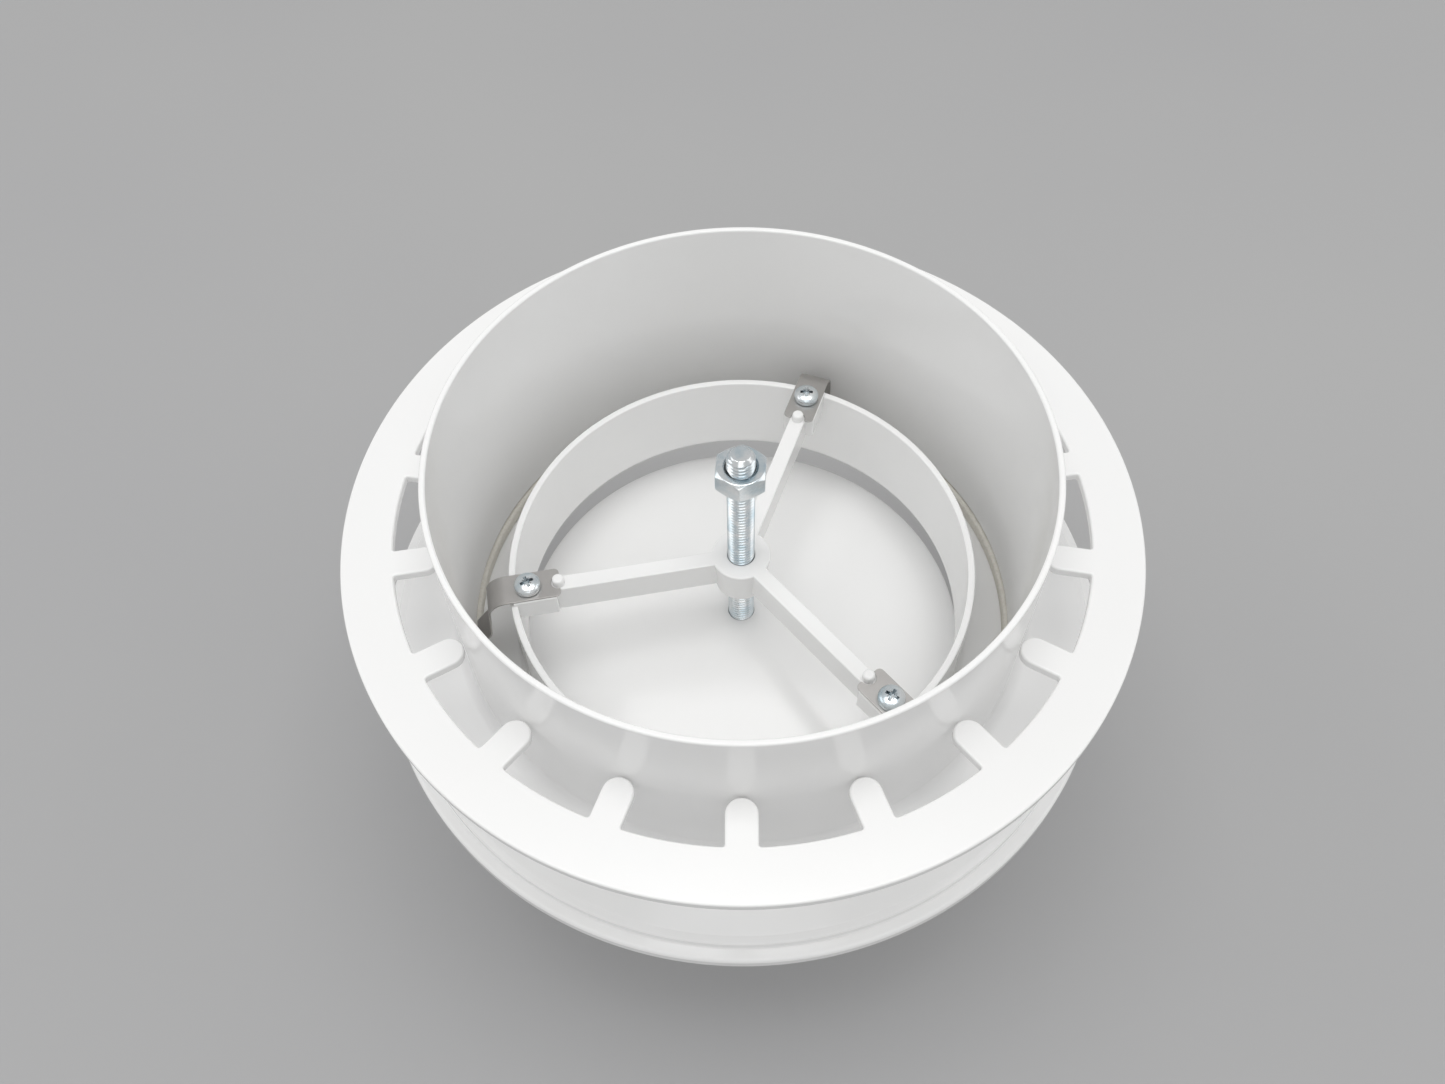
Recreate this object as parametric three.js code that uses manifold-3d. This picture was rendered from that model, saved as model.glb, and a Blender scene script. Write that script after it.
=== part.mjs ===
// Ceiling air diffuser for a 125 mm round duct, as a three.js scene graph.
// A flared mounting body goes up through the ceiling, a fingered ring on its spigot clamps the
// board from above, and a valve insert on three spring clips carries the adjustable disc.
// Units are millimetres and +Z points up into the duct. The origin is the centre of the ceiling
// cut-out, on the underside of the ceiling board, where the flange's land seats.
import * as THREE from "three";
import { mergeVertices } from "three/addons/utils/BufferGeometryUtils.js";
import Module from "manifold-3d";

const wasm = await Module();
wasm.setup();

// Mounting body
const SPIGOT_OUTER_R = 62.3;
const SPIGOT_WALL = 1.3;
const SPIGOT_TOP = 58.5;
const SPIGOT_FOOT = 1.8;
const FLANGE_R = 82.2;
const FLANGE_FACE = -3.3;
const LAND_INNER_R = 78.8;
const FLARE_START_R = 64;
const FLARE_START_Z = 9.2;
const FLARE_SLOPE = 0.525;
const FLARE_THICKNESS = 2.26;
const FLARE_FILLET = 5;

// Clamp ring
const RING_R = 82.6;
const RING_BAND_INNER_R = 72;
const RING_TOP = 37.4;
const RING_THICKNESS = 2.2;
const FINGER_COUNT = 18;
const FINGER_WIDTH = 6.1;
const FINGER_GAP = 0.4;
const FRONT_ANGLE = -Math.PI / 2;

// Valve body: collar, flange, hub and three arms in one moulding
const COLLAR_R = 51;
const COLLAR_BORE = 49.5;
const COLLAR_TOP = 20.25;
const VALVE_FLANGE_R = 79;
const VALVE_FLANGE_TOP = -1.7;
const VALVE_FLANGE_FACE = -3.7;
const MOUTH_RADIUS = 3;
const ARM_COUNT = 3;
const ARM_TURN = THREE.MathUtils.degToRad(70.5);
const ARM_TOP = 21.25;
const ARM_WIDTH = 3.6;
const ARM_HEIGHT = 7.75;
const HUB_R = 6.5;
const HUB_FOOT_R = 5.7;
const HUB_HEIGHT = 10;
const HUB_BORE = 3.3;
const BOSS_INNER_R = 40.8;
const BOSS_WIDTH = 7.4;
const BOSS_HEIGHT = 6;
const PEG_R = 1.3;
const PEG_AT = 40.1;
const PEG_HEIGHT = 2;

// Foam seal on the valve flange
const SEAL_INNER_R = 60.2;
const SEAL_OUTER_R = 66;
const SEAL_HEIGHT = 3.1;

// Spring clips and their screws
const CLIP_WIDTH = 7;
const CLIP_THICKNESS = 0.4;
const CLIP_INNER_R = 39.8;
const CLIP_BEND_R = 51.6;
const CLIP_BEND = 4.3;
const CLIP_LEG_LEAN = THREE.MathUtils.degToRad(5.7);
const CLIP_LEG_FOOT = 9.7;
const CLIP_KNEE = [60.35, 4.9];
const CLIP_TIP = [59.3, 2.5];
const CLIP_LIFT = 0.05;
const NOTCH_WIDTH = 3.3;
const NOTCH_AT = 40.1;
const SCREW_AT = 46.7;
const SCREW_HEAD_R = 2.85;
const SCREW_HEAD_HEIGHT = 2.1;
const SCREW_R = 1.45;
const SCREW_LENGTH = 5.6;
const SCREW_HOLE_R = 1.8;
const RECESS_SLOT = 0.75;
const RECESS_SPAN = 3.2;
const RECESS_DEPTH = 1.2;

// Spindle and nuts
const SPINDLE_R = 2.95;
const SPINDLE_TOP = 57;
const SPINDLE_FOOT = -13;
const NUT_FLATS = 10;
const NUT_HEIGHT = 5;
const LOCK_NUT_Z = 48.3;
const LOCK_NUT_TURN = THREE.MathUtils.degToRad(-94);
const NUT_BORE = 3.3;

// Disc: a domed shell above, a room-side face snapped on below
const DISC_R = 51.6;
const DISC_APEX = -2.5;
const DISC_RISE = 7.65;
const DISC_WALL = 1.8;
const DISC_RIM_FOOT = -12.5;
const DISC_SKIRT = 1.8;
const DISC_BOSS_R = 8;
const DISC_BOSS_FOOT = -13;
const DISC_POCKET_CLEARANCE = 0.35;
const FACE_GAP = 0.15;
const FACE_EDGE = 1.4;
const FACE_RISE = 1.7;
const FACE_WALL = 1.7;
const FACE_UPSTAND_R = 49.3;
const FACE_UPSTAND = 0.75;

const ROUND = 54;
const FINE_ROUND = 24;

const WHITE_ABS = { color: 0xf2f2f0, roughness: 0.22, metalness: 0 };
const FOAM = { color: 0xe6e0cc, roughness: 0.95, metalness: 0 };
const STAINLESS = { color: 0x9c9690, roughness: 0.35, metalness: 1 };
const ZINC = { color: 0xc3cad0, roughness: 0.28, metalness: 1 };

// --- solids from geometry -------------------------------------------------

function signedVolume(positions, index) {
  const a = new THREE.Vector3();
  const b = new THREE.Vector3();
  const c = new THREE.Vector3();
  let volume = 0;
  for (let i = 0; i < index.length; i += 3) {
    a.fromArray(positions, index[i] * 3);
    b.fromArray(positions, index[i + 1] * 3);
    c.fromArray(positions, index[i + 2] * 3);
    volume += a.dot(b.cross(c)) / 6;
  }
  return volume;
}

// One closed, welded mesh with its faces pointing out and no collapsed triangles.
function welded(geometry) {
  const bare = geometry.index ? geometry.toNonIndexed() : geometry.clone();
  bare.deleteAttribute("normal");
  bare.deleteAttribute("uv");
  const merged = mergeVertices(bare, 1e-4);
  const positions = merged.attributes.position.array;
  const kept = [];
  const index = merged.index.array;
  for (let i = 0; i < index.length; i += 3) {
    const [p, q, r] = [index[i], index[i + 1], index[i + 2]];
    if (p !== q && q !== r && r !== p) kept.push(p, q, r);
  }
  if (signedVolume(positions, kept) < 0) kept.reverse();
  merged.setIndex(kept);
  return merged;
}

function toSolid(geometry) {
  const mesh = welded(geometry);
  return new wasm.Manifold(new wasm.Mesh({
    numProp: 3,
    vertProperties: new Float32Array(mesh.attributes.position.array),
    triVerts: new Uint32Array(mesh.index.array),
  }));
}

function fromSolid(solid) {
  const mesh = solid.getMesh();
  const geometry = new THREE.BufferGeometry();
  geometry.setAttribute("position", new THREE.BufferAttribute(mesh.vertProperties, 3));
  geometry.setIndex(new THREE.BufferAttribute(mesh.triVerts, 1));
  return geometry;
}

// --- shapes ---------------------------------------------------------------

// Points on a round corner in a profile, from one angle to another in degrees.
function corner(centreR, centreZ, radius, from, to, steps) {
  const points = [];
  for (let i = 0; i <= steps; i += 1) {
    const angle = THREE.MathUtils.degToRad(from + (to - from) * i / steps);
    points.push([centreR + radius * Math.cos(angle), centreZ + radius * Math.sin(angle)]);
  }
  return points;
}

// A ring or disc turned about Z from a profile of [radius, height] points.
function turned(profile, segments) {
  const points = profile.map(([r, z]) => new THREE.Vector2(r, z));
  if (profile[0][0] > 0) points.push(points[0].clone());
  return welded(new THREE.LatheGeometry(points, segments).rotateX(Math.PI / 2));
}

function cylinder(radius, low, high, segments) {
  const geometry = new THREE.CylinderGeometry(radius, radius, high - low, segments);
  return geometry.rotateX(Math.PI / 2).translate(0, 0, (low + high) / 2);
}

// A box from its lowest to its highest corner.
function block(low, high) {
  const size = high.map((value, i) => value - low[i]);
  const geometry = new THREE.BoxGeometry(...size);
  return geometry.translate(...low.map((value, i) => value + size[i] / 2));
}

function prism(shape, low, high, curveSegments = 12) {
  const depth = high - low;
  const geometry = new THREE.ExtrudeGeometry(shape, { depth, bevelEnabled: false, curveSegments });
  return geometry.translate(0, 0, low);
}

// --- mounting body --------------------------------------------------------

const flareTop = (r) => FLARE_START_Z - FLARE_SLOPE * (r - FLARE_START_R);
const flareUnder = (r) => flareTop(r) - FLARE_THICKNESS;

function mountingBody() {
  const inner = SPIGOT_OUTER_R - SPIGOT_WALL;
  const slope = THREE.MathUtils.radToDeg(Math.atan(FLARE_SLOPE));
  const tangent = FLARE_FILLET * Math.tan(THREE.MathUtils.degToRad(90 - slope) / 2);
  const filletZ = flareTop(SPIGOT_OUTER_R) + tangent;
  const lipInner = FLANGE_R - 2.4;
  const shoulder = LAND_INNER_R - 0.8;
  return turned([
    [inner, SPIGOT_FOOT],
    [SPIGOT_OUTER_R, SPIGOT_FOOT],
    [SPIGOT_OUTER_R, flareUnder(SPIGOT_OUTER_R) - 1.2],
    [SPIGOT_OUTER_R + 1, flareUnder(SPIGOT_OUTER_R + 1)],
    [lipInner, flareUnder(lipInner)],
    [lipInner, FLANGE_FACE + 0.5],
    [lipInner + 0.5, FLANGE_FACE],
    [FLANGE_R - 0.8, FLANGE_FACE],
    ...corner(FLANGE_R - 0.8, FLANGE_FACE + 0.8, 0.8, -45, 0, 1),
    ...corner(FLANGE_R - 0.8, -0.8, 0.8, 0, 90, 2),
    [LAND_INNER_R, 0],
    [LAND_INNER_R - 0.2, flareTop(LAND_INNER_R) - 0.3],
    [shoulder, flareTop(shoulder)],
    ...corner(SPIGOT_OUTER_R + FLARE_FILLET, filletZ, FLARE_FILLET, 270 - slope, 180, 4),
    [SPIGOT_OUTER_R, SPIGOT_TOP - 0.4],
    [SPIGOT_OUTER_R - 0.3, SPIGOT_TOP],
    [inner + 0.3, SPIGOT_TOP],
    [inner, SPIGOT_TOP - 0.4],
  ], ROUND);
}

// --- clamp ring -----------------------------------------------------------

// The ring's hole: an arc along the band between fingers, then in round the finger's end.
function ringHole() {
  const hole = new THREE.Path();
  const half = FINGER_WIDTH / 2;
  const tipCentre = SPIGOT_OUTER_R + FINGER_GAP + half;
  const pitch = 2 * Math.PI / FINGER_COUNT;
  const baseAngle = Math.asin(half / RING_BAND_INNER_R);
  for (let i = 0; i < FINGER_COUNT; i += 1) {
    const angle = FRONT_ANGLE + i * pitch;
    const x = tipCentre * Math.cos(angle);
    const y = tipCentre * Math.sin(angle);
    hole.absarc(x, y, half, angle - Math.PI / 2, angle - 3 * Math.PI / 2, true);
    hole.absarc(0, 0, RING_BAND_INNER_R, angle + baseAngle, angle + pitch - baseAngle, false);
  }
  hole.closePath();
  return hole;
}

function clampRing() {
  const blank = RING_R * 1.1;
  const shape = new THREE.Shape();
  shape.absarc(0, 0, blank, 0, 2 * Math.PI, false);
  shape.holes.push(ringHole());
  const low = RING_TOP - RING_THICKNESS;
  const plate = toSolid(prism(shape, low, RING_TOP, 5));
  const edge = 0.7;
  const rounded = toSolid(turned([
    [0, low],
    ...corner(RING_R - edge, low + edge, edge, -90, 0, 2),
    ...corner(RING_R - edge, RING_TOP - edge, edge, 0, 90, 2),
    [0, RING_TOP],
  ], ROUND + FINGER_COUNT));
  return fromSolid(plate.intersect(rounded));
}

// --- valve insert ---------------------------------------------------------

function collarAndFlange() {
  const edge = 0.7;
  return turned([
    [COLLAR_BORE, COLLAR_TOP - 0.3],
    ...corner(COLLAR_BORE + MOUTH_RADIUS, VALVE_FLANGE_FACE + MOUTH_RADIUS, MOUTH_RADIUS, 180, 270, 4),
    [VALVE_FLANGE_R - edge, VALVE_FLANGE_FACE],
    [VALVE_FLANGE_R, VALVE_FLANGE_FACE + edge],
    [VALVE_FLANGE_R, VALVE_FLANGE_TOP - edge / 2],
    [VALVE_FLANGE_R - edge, VALVE_FLANGE_TOP],
    ...corner(COLLAR_R + 2, VALVE_FLANGE_TOP + 2, 2, 270, 180, 2),
    [COLLAR_R, COLLAR_TOP - 0.3],
    [COLLAR_R - 0.3, COLLAR_TOP],
    [COLLAR_BORE + 0.3, COLLAR_TOP],
  ], ROUND);
}

// Arm, boss and peg along +X.
function arm() {
  const bridge = toSolid(block(
    [HUB_FOOT_R - 1.5, -ARM_WIDTH / 2, ARM_TOP - ARM_HEIGHT],
    [BOSS_INNER_R + 1, ARM_WIDTH / 2, ARM_TOP],
  ));
  const outer = COLLAR_BORE + 0.6;
  const boss = toSolid(block(
    [BOSS_INNER_R, -BOSS_WIDTH / 2, ARM_TOP - BOSS_HEIGHT],
    [outer, BOSS_WIDTH / 2, ARM_TOP],
  ));
  const peg = toSolid(turned([
    [0, ARM_TOP - 5],
    [PEG_R, ARM_TOP - 5],
    [PEG_R, ARM_TOP + PEG_HEIGHT - 0.6],
    [PEG_R * 0.6, ARM_TOP + PEG_HEIGHT - 0.1],
    [0, ARM_TOP + PEG_HEIGHT],
  ], FINE_ROUND / 2).translate(PEG_AT, 0, 0));
  return bridge.add(boss).add(peg);
}

function valveBody() {
  let body = toSolid(collarAndFlange());
  body = body.add(toSolid(turned([
    [0, ARM_TOP - HUB_HEIGHT],
    [HUB_FOOT_R, ARM_TOP - HUB_HEIGHT],
    [HUB_R, ARM_TOP],
    [0, ARM_TOP],
  ], FINE_ROUND)));
  for (let i = 0; i < ARM_COUNT; i += 1) {
    body = body.add(arm().rotate([0, 0, i * 360 / ARM_COUNT]));
  }
  const shaftHole = cylinder(HUB_BORE, ARM_TOP - HUB_HEIGHT - 1, ARM_TOP + 1, FINE_ROUND);
  body = body.subtract(toSolid(shaftHole));
  const pilot = cylinder(SCREW_HOLE_R, ARM_TOP - SCREW_LENGTH - 1, ARM_TOP + 1, FINE_ROUND / 2);
  const screwHole = toSolid(pilot.translate(SCREW_AT, 0, 0));
  for (let i = 0; i < ARM_COUNT; i += 1) {
    body = body.subtract(screwHole.rotate([0, 0, i * 360 / ARM_COUNT]));
  }
  return fromSolid(body);
}

function valveSeal() {
  const top = VALVE_FLANGE_TOP + SEAL_HEIGHT;
  return turned([
    [SEAL_INNER_R, VALVE_FLANGE_TOP],
    [SEAL_OUTER_R, VALVE_FLANGE_TOP],
    [SEAL_OUTER_R, top],
    [SEAL_INNER_R, top],
  ], ROUND);
}

// --- spring clip and screw ------------------------------------------------

// The clip's centre line seen from the side, as [radius, height] points.
function clipLine() {
  const flatZ = ARM_TOP + CLIP_LIFT + CLIP_THICKNESS / 2;
  const bendZ = flatZ - CLIP_BEND;
  const lean = THREE.MathUtils.radToDeg(CLIP_LEG_LEAN);
  const bend = corner(CLIP_BEND_R, bendZ, CLIP_BEND, 90, lean, 6);
  const [legR, legZ] = bend[bend.length - 1];
  const footR = legR + (legZ - CLIP_LEG_FOOT) * Math.tan(CLIP_LEG_LEAN);
  return [[CLIP_INNER_R, flatZ], ...bend, [footR, CLIP_LEG_FOOT], CLIP_KNEE, CLIP_TIP];
}

// The centre line moved sideways by half the strip's thickness.
function besideLine(line, offset) {
  return line.map(([r, z], i) => {
    const before = line[Math.max(i - 1, 0)];
    const after = line[Math.min(i + 1, line.length - 1)];
    const run = new THREE.Vector2(after[0] - before[0], after[1] - before[1]).normalize();
    return new THREE.Vector2(r - run.y * offset, z + run.x * offset);
  });
}

function springClip() {
  const line = clipLine();
  const half = CLIP_THICKNESS / 2;
  const outline = [...besideLine(line, half), ...besideLine(line, -half).reverse()];
  const strip = prism(new THREE.Shape(outline), -CLIP_WIDTH / 2, CLIP_WIDTH / 2);
  let clip = toSolid(strip.rotateX(Math.PI / 2));
  const low = ARM_TOP - 1;
  const high = ARM_TOP + 2;
  const notchR = NOTCH_WIDTH / 2;
  const notch = new THREE.Shape();
  notch.moveTo(CLIP_INNER_R - 1, -notchR);
  notch.lineTo(NOTCH_AT, -notchR);
  notch.absarc(NOTCH_AT, 0, notchR, -Math.PI / 2, Math.PI / 2, false);
  notch.lineTo(CLIP_INNER_R - 1, notchR);
  clip = clip.subtract(toSolid(prism(notch, low, high, 4)));
  for (const side of [-1, 1]) {
    clip = clip.subtract(toSolid(tabCorner(side, low, high)));
  }
  const hole = cylinder(SCREW_HOLE_R, low, high, FINE_ROUND / 2).translate(SCREW_AT, 0, 0);
  return fromSolid(clip.subtract(toSolid(hole)));
}

// What is cut away to round the outer corner of a notch tab.
function tabCorner(side, low, high) {
  const radius = 1.1;
  const cut = new THREE.Shape();
  const edge = CLIP_WIDTH / 2;
  cut.moveTo(CLIP_INNER_R - 1, edge + 1);
  cut.lineTo(CLIP_INNER_R - 1, edge - radius);
  cut.lineTo(CLIP_INNER_R, edge - radius);
  cut.absarc(CLIP_INNER_R + radius, edge - radius, radius, Math.PI, Math.PI / 2, true);
  cut.lineTo(CLIP_INNER_R + radius, edge + 1);
  const geometry = prism(cut, low, high, 3);
  if (side < 0) geometry.rotateX(Math.PI).translate(0, 0, low + high);
  return geometry;
}

function clipScrew() {
  const seat = ARM_TOP + CLIP_THICKNESS + 2 * CLIP_LIFT;
  const top = seat + SCREW_HEAD_HEIGHT;
  const body = toSolid(turned([
    [0, seat - SCREW_LENGTH],
    [SCREW_R * 0.5, seat - SCREW_LENGTH],
    [SCREW_R, seat - SCREW_LENGTH + 1],
    [SCREW_R, seat],
    [SCREW_HEAD_R, seat],
    [SCREW_HEAD_R, seat + 0.8],
    [SCREW_HEAD_R * 0.82, top - 0.35],
    [SCREW_HEAD_R * 0.45, top],
    [0, top],
  ], FINE_ROUND / 2));
  const slot = [RECESS_SPAN / 2, RECESS_SLOT / 2];
  const along = toSolid(block([-slot[0], -slot[1], top - RECESS_DEPTH], [slot[0], slot[1], top + 1]));
  const across = toSolid(block([-slot[1], -slot[0], top - RECESS_DEPTH], [slot[1], slot[0], top + 1]));
  return fromSolid(body.subtract(along.add(across)));
}

// --- spindle and nuts -----------------------------------------------------

function spindle() {
  const chamfer = 0.8;
  return turned([
    [0, SPINDLE_FOOT],
    [SPINDLE_R - chamfer, SPINDLE_FOOT],
    [SPINDLE_R, SPINDLE_FOOT + chamfer],
    [SPINDLE_R, SPINDLE_TOP - chamfer],
    [SPINDLE_R - chamfer, SPINDLE_TOP],
    [0, SPINDLE_TOP],
  ], FINE_ROUND);
}

function hexShape(flats) {
  const across = flats / Math.sqrt(3);
  const points = [];
  for (let i = 0; i < 6; i += 1) {
    const angle = i * Math.PI / 3;
    points.push(new THREE.Vector2(across * Math.cos(angle), across * Math.sin(angle)));
  }
  return new THREE.Shape(points);
}

function hexNut() {
  const corners = NUT_FLATS / Math.sqrt(3);
  const chamfer = 0.45;
  const hex = toSolid(prism(hexShape(NUT_FLATS), 0, NUT_HEIGHT));
  const cone = toSolid(turned([
    [0, 0],
    [corners - 0.8, 0],
    [corners, chamfer],
    [corners, NUT_HEIGHT - chamfer],
    [corners - 0.8, NUT_HEIGHT],
    [0, NUT_HEIGHT],
  ], FINE_ROUND));
  const bore = toSolid(cylinder(NUT_BORE, -1, NUT_HEIGHT + 1, FINE_ROUND));
  return fromSolid(hex.intersect(cone).subtract(bore));
}

// --- disc -----------------------------------------------------------------

// Drop of a shallow spherical dome below its apex at radius r.
function domeDrop(r, rise) {
  const ball = (DISC_R * DISC_R + rise * rise) / (2 * rise);
  return ball - Math.sqrt(ball * ball - r * r);
}

function domeLine(from, to, steps, apex, rise) {
  const points = [];
  for (let i = 0; i <= steps; i += 1) {
    const r = from + (to - from) * i / steps;
    points.push([r, apex + Math.sign(rise) * -domeDrop(r, Math.abs(rise))]);
  }
  return points;
}

function discShell() {
  const rimInner = DISC_R - DISC_SKIRT;
  const under = DISC_APEX - DISC_WALL;
  const shell = toSolid(turned([
    ...domeLine(HUB_BORE, DISC_R - 0.6, 9, DISC_APEX, DISC_RISE),
    [DISC_R, DISC_APEX - DISC_RISE - 0.6],
    [DISC_R, DISC_RIM_FOOT],
    [rimInner, DISC_RIM_FOOT],
    ...domeLine(rimInner, DISC_BOSS_R, 6, under, DISC_RISE),
    [DISC_BOSS_R, DISC_BOSS_FOOT],
    [HUB_BORE, DISC_BOSS_FOOT],
  ], ROUND));
  const pocket = prism(hexShape(NUT_FLATS + DISC_POCKET_CLEARANCE), DISC_BOSS_FOOT - 1, discNutTop());
  return fromSolid(shell.subtract(toSolid(pocket)));
}

const discNutTop = () => DISC_BOSS_FOOT + NUT_HEIGHT + 0.2;

function discFace() {
  const top = DISC_RIM_FOOT - FACE_GAP;
  const edgeFoot = top - FACE_EDGE;
  const apex = edgeFoot - FACE_RISE;
  const inner = FACE_UPSTAND_R - 1.4;
  return turned([
    [0, apex],
    ...domeLine(DISC_R / 4, DISC_R - 0.8, 4, apex, -FACE_RISE),
    [DISC_R, edgeFoot + 0.8],
    [DISC_R, top],
    [FACE_UPSTAND_R, top],
    [FACE_UPSTAND_R, top + FACE_UPSTAND],
    [inner, top + FACE_UPSTAND],
    ...domeLine(inner, DISC_R / 4, 3, apex + FACE_WALL, -FACE_RISE),
    [0, apex + FACE_WALL],
  ], ROUND);
}

// --- assembly -------------------------------------------------------------

function piece(name, geometry, finish) {
  const mesh = new THREE.Mesh(geometry, new THREE.MeshStandardMaterial(finish));
  mesh.name = name;
  return mesh;
}

const diffuser = new THREE.Group();
diffuser.add(piece("mounting_body", mountingBody(), WHITE_ABS));
diffuser.add(piece("clamp_ring", clampRing(), WHITE_ABS));

const valve = new THREE.Group();
valve.rotation.z = ARM_TURN;
valve.add(piece("valve_body", valveBody(), WHITE_ABS));
valve.add(piece("valve_seal", valveSeal(), FOAM));
for (let i = 0; i < ARM_COUNT; i += 1) {
  const angle = i * 2 * Math.PI / ARM_COUNT;
  const clip = piece(`spring_clip_${i + 1}`, springClip(), STAINLESS);
  clip.rotation.z = angle;
  const screw = piece(`clip_screw_${i + 1}`, clipScrew(), ZINC);
  screw.position.set(SCREW_AT * Math.cos(angle), SCREW_AT * Math.sin(angle), 0);
  screw.rotation.z = angle;
  valve.add(clip, screw);
}
diffuser.add(valve);

const regulator = new THREE.Group();
regulator.add(piece("spindle", spindle(), ZINC));
const lockNut = piece("lock_nut", hexNut(), ZINC);
lockNut.position.z = LOCK_NUT_Z;
lockNut.rotation.z = LOCK_NUT_TURN;
const discNut = piece("disc_nut", hexNut(), ZINC);
discNut.position.z = DISC_BOSS_FOOT;
regulator.add(lockNut, discNut);
regulator.add(piece("disc_shell", discShell(), WHITE_ABS));
regulator.add(piece("disc_face", discFace(), WHITE_ABS));
diffuser.add(regulator);

export default diffuser;
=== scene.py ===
# %% [markdown]
# # Ceiling air diffuser
#
# This lesson makes the looks of a round air valve for a 125 mm duct. A flared white body goes up
# through the ceiling, a fingered ring clamps the board from above, and a valve insert hangs inside
# on three spring clips. Its disc screws up and down on a threaded spindle, which sets the air gap.
#
# The imported model already holds every part at its real size. Each piece made here takes the place
# of one of its nodes, in the same frame, so nothing is fitted by eye: some heights and radii are read
# from the model's own boxes, and the other sizes, down to those of an edge or a thread, are named here.

# %% Load the imported model
import math

import bmesh
import bpy
from mathutils import Matrix, Vector


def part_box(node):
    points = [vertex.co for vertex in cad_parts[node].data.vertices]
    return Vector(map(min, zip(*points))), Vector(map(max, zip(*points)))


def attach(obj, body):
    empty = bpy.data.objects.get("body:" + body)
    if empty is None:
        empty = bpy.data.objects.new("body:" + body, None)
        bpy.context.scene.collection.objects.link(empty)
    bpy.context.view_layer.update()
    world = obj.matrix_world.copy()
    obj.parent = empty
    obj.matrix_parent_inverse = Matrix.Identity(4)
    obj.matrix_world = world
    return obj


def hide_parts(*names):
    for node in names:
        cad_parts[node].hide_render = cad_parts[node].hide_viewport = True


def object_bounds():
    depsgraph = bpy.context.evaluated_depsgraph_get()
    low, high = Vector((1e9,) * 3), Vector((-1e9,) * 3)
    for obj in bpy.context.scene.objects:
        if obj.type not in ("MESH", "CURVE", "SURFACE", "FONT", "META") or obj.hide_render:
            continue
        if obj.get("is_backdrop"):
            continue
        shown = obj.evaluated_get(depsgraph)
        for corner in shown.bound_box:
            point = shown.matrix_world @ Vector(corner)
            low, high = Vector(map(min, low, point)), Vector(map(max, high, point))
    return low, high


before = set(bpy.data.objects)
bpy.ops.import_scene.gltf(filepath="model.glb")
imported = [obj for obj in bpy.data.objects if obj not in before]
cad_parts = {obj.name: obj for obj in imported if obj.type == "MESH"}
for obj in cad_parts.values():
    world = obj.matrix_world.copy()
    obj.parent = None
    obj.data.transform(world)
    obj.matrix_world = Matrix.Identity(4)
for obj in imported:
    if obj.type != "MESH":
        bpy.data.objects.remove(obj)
cad_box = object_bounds()
MM = 0.001
print("model spans", [round((b - a) / MM, 1) for a, b in zip(*cad_box)], "mm")

# %% [markdown]
# ## Reading sizes from the model
#
# A node's box gives the outer radius and the heights of a turned part. Everything below works in
# millimetres, because a moulder's drawing does, and is scaled to metres when a mesh is made.


# %% Radii and heights
def top_of(node):
    """The height of a node's top in millimetres."""
    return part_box(node)[1].z / MM


def foot_of(node):
    """The height of a node's lowest point in millimetres."""
    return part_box(node)[0].z / MM


def radius_of(node):
    """The outer radius of a turned node in millimetres."""
    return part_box(node)[1].x / MM


RIM_Z = top_of("mounting_body")
FLANGE_R = radius_of("mounting_body")
RING_TOP = top_of("clamp_ring")
RING_R = radius_of("clamp_ring")
COLLAR_TOP = 20.25
SPINDLE_TOP = top_of("spindle")
print(f"rim at {RIM_Z:.1f}, flange radius {FLANGE_R:.1f}, ring radius {RING_R:.1f}")

# %% [markdown]
# ## Outlines with round corners
#
# Moulded plastic has no sharp edges: steel moulds are cut with small radii, and plastic won't fill
# a knife edge. A bevel modifier could round a finished mesh, but on a turned part it is cleaner to
# round the outline first. Each corner is written with its own radius, and this helper swaps the
# corner for a short arc.


# %% Round the corners of an outline
def rounded(outline, steps=6):
    """Closed outline of (across, up, corner radius) as plain points, each corner an arc."""
    points = []
    for i, (x, y, radius) in enumerate(outline):
        here = Vector((x, y))
        if radius == 0:
            points.append((x, y))
            continue
        before = (Vector(outline[i - 1][:2]) - here).normalized()
        after = (Vector(outline[(i + 1) % len(outline)][:2]) - here).normalized()
        turn = math.pi - before.angle(after)
        reach = radius * math.tan(turn / 2)
        centre = here + (before + after).normalized() * radius / math.cos(turn / 2)
        start = here + before * reach - centre
        end = here + after * reach - centre
        first = math.atan2(start.y, start.x)
        sweep = math.atan2(start.x * end.y - start.y * end.x, start.dot(end))
        for k in range(steps + 1):
            angle = first + sweep * k / steps
            points.append((centre.x + radius * math.cos(angle), centre.y + radius * math.sin(angle)))
    return points


# %% [markdown]
# ## Turning an outline into a body
#
# Most of this object was turned in a mould, so one helper sweeps an outline round Z. It welds the
# doubled points at the axis and turns all faces outwards. A second helper sets the shading: wide
# flats next to small radii look bent unless their normals are weighted by area.


# %% Make a piece from points and faces
MERGE = 1e-7
SMOOTH_TO = math.radians(32)


def new_piece(name, vertices, faces):
    """A closed piece from points in millimetres, doubles merged and faces outwards."""
    mesh = bpy.data.meshes.new(name)
    mesh.from_pydata([Vector(v) * MM for v in vertices], [], faces)
    build = bmesh.new()
    build.from_mesh(mesh)
    bmesh.ops.remove_doubles(build, verts=build.verts, dist=MERGE)
    bmesh.ops.recalc_face_normals(build, faces=build.faces)
    build.to_mesh(mesh)
    build.free()
    piece = bpy.data.objects.new(name, mesh)
    bpy.context.scene.collection.objects.link(piece)
    return piece


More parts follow.
